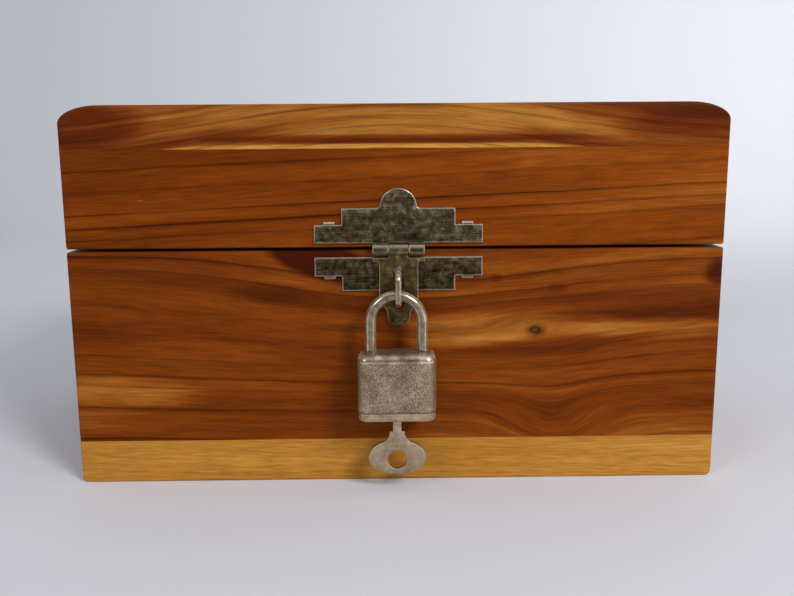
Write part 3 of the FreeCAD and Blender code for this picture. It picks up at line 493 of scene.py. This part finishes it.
put(tree, "ShaderNodeOutputMaterial", {"Surface": shell})
dress("padlock_case", pebbled_nickel)

# Padlock bottom plate: a solid plate pressed into the shell and rounded at the rim. Its polished
# nickel is the palest of the padlock's faces, and its round ends stay pale too.
dress("padlock_bottom_plate", rounded_metal("polished_nickel_bottom", [
    (0.36, "#927d63"), (0.46, "#b19c7f"), (0.55, "#c2ae90"), (0.64, "#d3c2a8")],
    blotch=3.0, rough=0.2, grain=0.3))

# Lock works: a brass block with its turning plug, sliding bolt and stop pin, as cast and reamed, and
# two coil springs of blued wire. They show only where the plug's face comes through the bottom plate.
DOUBLED = 0.002 * MM  # points of the loose triangles that are closer than this are one point
SMOOTH_BELOW = math.radians(40)

# This gives the eye a warm yellow brown with a fine streak.
lock_brass = plated("reamed_lock_brass", [
    (0.36, "#7c5c22"), (0.46, "#a27c37"), (0.55, "#b89249"), (0.64, "#cfae68")], blotch=2.5, rough=0.3)
for node in ("padlock_lock_block", "keyway_plug", "locking_bolt", "shackle_stop_pin"):
    dress(node, lock_brass)

# This gives the eye a cold dark grey.
blued_wire = plated("blued_spring_wire", [
    (0.36, "#3c3d40"), (0.46, "#5a5b5e"), (0.55, "#75767a"), (0.64, "#94959a")], blotch=1.2, rough=0.28)
dress("shackle_spring", blued_wire)


def merged_copy(node, name):
    """A copy of a CAD node's mesh to work on, whole, with its doubled points merged."""
    piece = bpy.data.objects.new(name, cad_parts[node].data.copy())
    bpy.context.scene.collection.objects.link(piece)
    piece.data.materials.clear()
    bpy.ops.object.select_all(action="DESELECT")
    bpy.context.view_layer.objects.active = piece
    piece.select_set(True)
    bpy.ops.object.mode_set(mode="EDIT")
    bpy.ops.mesh.customdata_custom_splitnormals_clear()
    bpy.ops.mesh.select_all(action="SELECT")
    bpy.ops.mesh.remove_doubles(threshold=DOUBLED)
    bpy.ops.object.mode_set(mode="OBJECT")
    return piece


coil = merged_copy("bolt_spring", "bolt_spring_coil")
bpy.ops.object.shade_smooth_by_angle(angle=SMOOTH_BELOW)
coil.data.materials.append(blued_wire)
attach(coil, "padlock")
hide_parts("bolt_spring")
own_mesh(coil)

# Key: a flat key stamped from sheet steel with a pierced oval bow, nickel plated and worn satin, so
# that it looks even and pale. The stamp has left its edges a little round.
KEY_EDGE = 0.14 * MM
LEVEL = math.radians(0.3)
SHARP = math.radians(60)
key = merged_copy("key", "key_rounded")
bpy.ops.object.mode_set(mode="EDIT")
bpy.ops.mesh.select_all(action="SELECT")
bpy.ops.mesh.dissolve_limited(angle_limit=LEVEL)
bpy.ops.mesh.select_mode(type="EDGE")
bpy.ops.mesh.select_all(action="DESELECT")
bpy.ops.mesh.edges_select_sharp(sharpness=SHARP)
bpy.ops.mesh.bevel(offset=KEY_EDGE, segments=2, affect="EDGES", clamp_overlap=True)
bpy.ops.object.mode_set(mode="OBJECT")
bpy.ops.object.shade_smooth_by_angle(angle=SMOOTH_BELOW)
satin_nickel = plated("satin_nickel_key", [
    (0.34, "#64523c"), (0.41, "#a08c72"), (0.5, "#b19d82"), (0.58, "#bdaa90"), (0.68, "#d0c0a8")],
    blotch=3.0, rough=0.34, grain=0.45)
key.data.materials.append(satin_nickel)
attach(key, "key")
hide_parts("key")

# Camera: a pinhole at the photograph's place, straight before the box and nearly as high as its top.
# Its angles, place and focal length were worked out from the box's corners in the photograph.
FOCAL, PICTURE_WIDTH = 880, 794  # pixels
SENSOR_WIDTH = 36.0  # mm
PITCH, YAW, ROLL = math.radians(10.264), math.radians(0.683), math.radians(-0.410)
PINHOLE = Vector((-0.003133, -0.333508, 0.108407))
camera_data = bpy.data.cameras.new("camera")
camera_data.sensor_width = SENSOR_WIDTH
camera_data.lens = SENSOR_WIDTH * FOCAL / PICTURE_WIDTH
camera_data.clip_start, camera_data.clip_end = 0.01, 20.0
forward = Vector((math.sin(YAW) * math.cos(PITCH), math.cos(YAW) * math.cos(PITCH), -math.sin(PITCH)))
level = Vector((math.cos(YAW), -math.sin(YAW), 0.0))
upward = level.cross(forward)
right = math.cos(ROLL) * level + math.sin(ROLL) * upward
top = -math.sin(ROLL) * level + math.cos(ROLL) * upward
camera = bpy.data.objects.new("camera", camera_data)
bpy.context.scene.collection.objects.link(camera)
camera.matrix_world = Matrix((
    (right.x, top.x, -forward.x, PINHOLE.x),
    (right.y, top.y, -forward.y, PINHOLE.y),
    (right.z, top.z, -forward.z, PINHOLE.z),
    (0.0, 0.0, 0.0, 1.0)))
bpy.context.scene.camera = camera

# Floor and backdrop: one sheet of plain pale paper, laid flat under the box and bent up all round it,
# so that every side stands before the same ground. It is matt, with painted shade that makes it a little
# greyer on the left.
FLOOR_RADIUS, WALL_HEIGHT, BEND = 1.7, 1.5, 0.9
FLOOR_SIDES, BEND_STEPS = 96, 14
GREY_END, PALE_END = -900.0, 700.0  # mm across the sheet
PAPER_CLOUD = 2.5  # mm
paper, tree, flat = new_material("pale_paper")
across = put(tree, "ShaderNodeSeparateXYZ", {0: flat}).outputs[0]
soft = put(tree, "ShaderNodeTexNoise", {"Vector": flat, "Scale": 1 / PAPER_CLOUD, "Detail": 2.0})
# Painted shade: the paper runs from grey on the left to pale on the right.
wide = put(tree, "ShaderNodeMapRange", {0: across, 1: GREY_END, 2: PALE_END})
mixed = put(tree, "ShaderNodeMath", {0: soft, 1: 0.04, 2: wide}, operation="MULTIPLY_ADD")
tint = put(tree, "ShaderNodeValToRGB", {0: mixed}, stops=tinted([(0.0, "#c3c5ca"), (1.0, "#e6e6ea")]))
sheet = put(tree, "ShaderNodeBsdfPrincipled", {
    "Base Color": tint, "Roughness": 0.9, "Specular IOR Level": 0.1})
put(tree, "ShaderNodeOutputMaterial", {"Surface": sheet})
bpy.ops.object.select_all(action="DESELECT")
bpy.ops.mesh.primitive_circle_add(vertices=FLOOR_SIDES, radius=FLOOR_RADIUS, fill_type="NGON")
floor = bpy.context.active_object
floor.name = "floor"
bpy.ops.object.mode_set(mode="EDIT")
bpy.ops.mesh.select_mode(type="EDGE")
bpy.ops.mesh.select_all(action="SELECT")
bpy.ops.mesh.region_to_loop()
bpy.ops.mesh.extrude_edges_move(TRANSFORM_OT_translate={"value": (0.0, 0.0, WALL_HEIGHT)})
bpy.ops.object.mode_set(mode="OBJECT")
for edge in floor.data.edges:
    edge.select = all(floor.data.vertices[v].co.z < WALL_HEIGHT / 2 for v in edge.vertices)
bpy.ops.object.mode_set(mode="EDIT")
bpy.ops.mesh.bevel(offset=BEND, segments=BEND_STEPS, affect="EDGES")
bpy.ops.object.mode_set(mode="OBJECT")
bpy.ops.object.shade_smooth_by_angle(angle=math.radians(60))
floor.data.materials.append(paper)

# Light: one soft lamp in front on the right, which throws the padlock's shadow to the left, a weaker
# one on the left, one that lights only the backdrop, and an even pale sky over its open top.
BOX_MIDDLE, BACKDROP_RIGHT = (0, 0, 0.06), (0.35, 1.7, 0.45)
for name, place, aim, size, power in (
        ("key_lamp", (0.68, -0.98, 0.80), BOX_MIDDLE, 0.42, 11.4),
        ("fill_lamp", (-0.82, -0.95, 0.72), BOX_MIDDLE, 0.45, 2.6),
        ("backdrop_lamp", (0.45, 0.55, 0.85), BACKDROP_RIGHT, 0.50, 4.3)):
    lamp_data = bpy.data.lights.new(name, "AREA")
    lamp_data.shape, lamp_data.size, lamp_data.energy = "DISK", size, power
    lamp = bpy.data.objects.new(name, lamp_data)
    bpy.context.scene.collection.objects.link(lamp)
    lamp.location = place
    lamp.rotation_mode = "QUATERNION"
    lamp.rotation_quaternion = (Vector(aim) - Vector(place)).to_track_quat("-Z", "Y")
    lamp.visible_camera = False
world = bpy.data.worlds.new("room")
bpy.context.scene.world = world
world.use_nodes = True
tree = world.node_tree
tree.nodes.clear()
sky = put(tree, "ShaderNodeBackground", {"Color": linear("#f4f6fa"), "Strength": 0.6})
put(tree, "ShaderNodeOutputWorld", {"Surface": sky})
bpy.context.scene.view_settings.view_transform = "Standard"
